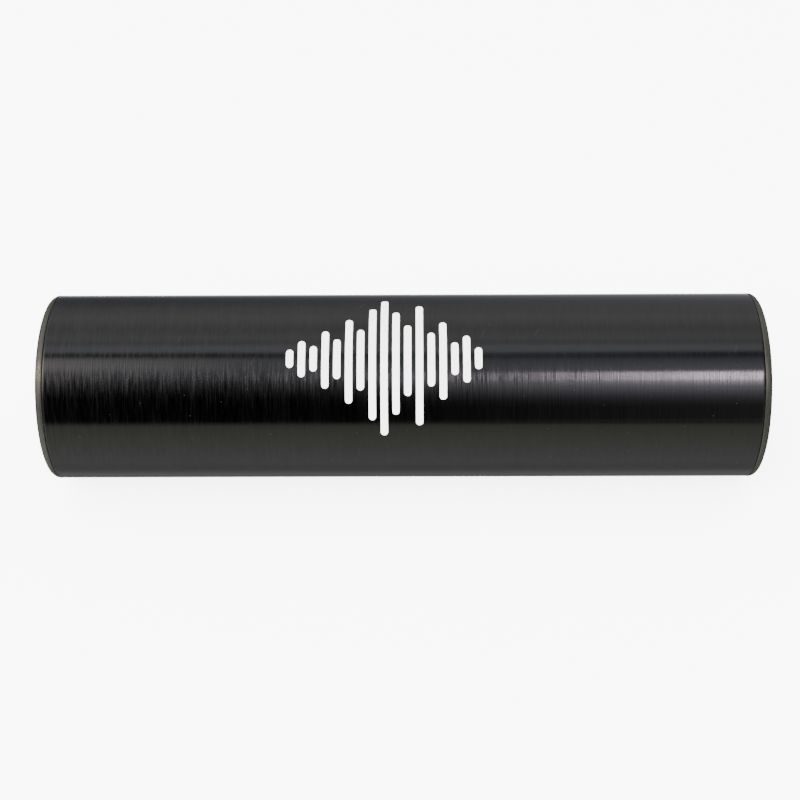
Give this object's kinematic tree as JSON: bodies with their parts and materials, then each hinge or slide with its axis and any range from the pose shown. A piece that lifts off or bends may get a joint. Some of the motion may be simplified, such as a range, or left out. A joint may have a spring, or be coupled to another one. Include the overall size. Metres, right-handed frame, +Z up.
{
  "type": "percussion shaker",
  "caption": "Closed metal tube with a turned plug in each end and loose steel balls inside, which run along the tube and swash round its bore when it is shaken.",
  "frame": {"origin": "under the middle of the tube, on the surface it lies on", "axes": "+X along the tube's axis towards the right end cap, +Z up, +Y away from the viewer; the tube lies on its side"},
  "size_m": [0.1938, 0.0508, 0.0508],
  "materials": {
    "tube_black_anodised": "black anodised aluminium, brushed round the tube, satin",
    "cap_black_turned": "black anodised aluminium, turned, fine matt",
    "shot_steel": "bright bearing steel, polished"
  },
  "bodies": {
    "housing": {"tube": "tube_black_anodised", "left_end_cap": "cap_black_turned", "right_end_cap": "cap_black_turned"},
    "stray_ball": {"shot_stray_ball": "shot_steel"},
    "front_outer_row": {"shot_row1_ball1": "shot_steel", "shot_row1_ball2": "shot_steel", "shot_row1_ball3": "shot_steel", "shot_row1_ball4": "shot_steel", "shot_row1_ball5": "shot_steel", "shot_row1_ball6": "shot_steel", "shot_row1_ball7": "shot_steel", "shot_row1_ball8": "shot_steel", "shot_row1_ball9": "shot_steel", "shot_row1_ball10": "shot_steel", "shot_row1_ball11": "shot_steel"},
    "front_inner_row": {"shot_row2_ball1": "shot_steel", "shot_row2_ball2": "shot_steel", "shot_row2_ball3": "shot_steel", "shot_row2_ball4": "shot_steel", "shot_row2_ball5": "shot_steel", "shot_row2_ball6": "shot_steel", "shot_row2_ball7": "shot_steel", "shot_row2_ball8": "shot_steel", "shot_row2_ball9": "shot_steel", "shot_row2_ball10": "shot_steel", "shot_row2_ball11": "shot_steel"},
    "middle_row": {"shot_row3_ball1": "shot_steel", "shot_row3_ball2": "shot_steel", "shot_row3_ball3": "shot_steel", "shot_row3_ball4": "shot_steel", "shot_row3_ball5": "shot_steel", "shot_row3_ball6": "shot_steel", "shot_row3_ball7": "shot_steel", "shot_row3_ball8": "shot_steel", "shot_row3_ball9": "shot_steel", "shot_row3_ball10": "shot_steel", "shot_row3_ball11": "shot_steel"},
    "back_inner_row": {"shot_row4_ball1": "shot_steel", "shot_row4_ball2": "shot_steel", "shot_row4_ball3": "shot_steel", "shot_row4_ball4": "shot_steel", "shot_row4_ball5": "shot_steel", "shot_row4_ball6": "shot_steel", "shot_row4_ball7": "shot_steel", "shot_row4_ball8": "shot_steel", "shot_row4_ball9": "shot_steel", "shot_row4_ball10": "shot_steel", "shot_row4_ball11": "shot_steel"},
    "back_outer_row": {"shot_row5_ball1": "shot_steel", "shot_row5_ball2": "shot_steel", "shot_row5_ball3": "shot_steel", "shot_row5_ball4": "shot_steel", "shot_row5_ball5": "shot_steel", "shot_row5_ball6": "shot_steel", "shot_row5_ball7": "shot_steel", "shot_row5_ball8": "shot_steel", "shot_row5_ball9": "shot_steel", "shot_row5_ball10": "shot_steel", "shot_row5_ball11": "shot_steel"}
  },
  "joints": [
    {"name": "shot_swash", "type": "hinge", "parent": "housing", "child": "stray_ball", "pos_m": [0, 0, 0.0254], "axis": [1, 0, 0], "continuous": true},
    {"name": "front_outer_row_run", "type": "slide", "parent": "stray_ball", "child": "front_outer_row", "axis": [1, 0, 0], "range_m": [-0.05736, 0.05736]},
    {"name": "front_inner_row_run", "type": "slide", "parent": "stray_ball", "child": "front_inner_row", "axis": [1, 0, 0], "range_m": [-0.05736, 0.05736]},
    {"name": "middle_row_run", "type": "slide", "parent": "stray_ball", "child": "middle_row", "axis": [1, 0, 0], "range_m": [-0.05229, 0.05736]},
    {"name": "back_inner_row_run", "type": "slide", "parent": "stray_ball", "child": "back_inner_row", "axis": [1, 0, 0], "range_m": [-0.05736, 0.05736]},
    {"name": "back_outer_row_run", "type": "slide", "parent": "stray_ball", "child": "back_outer_row", "axis": [1, 0, 0], "range_m": [-0.05736, 0.05736]}
  ]
}
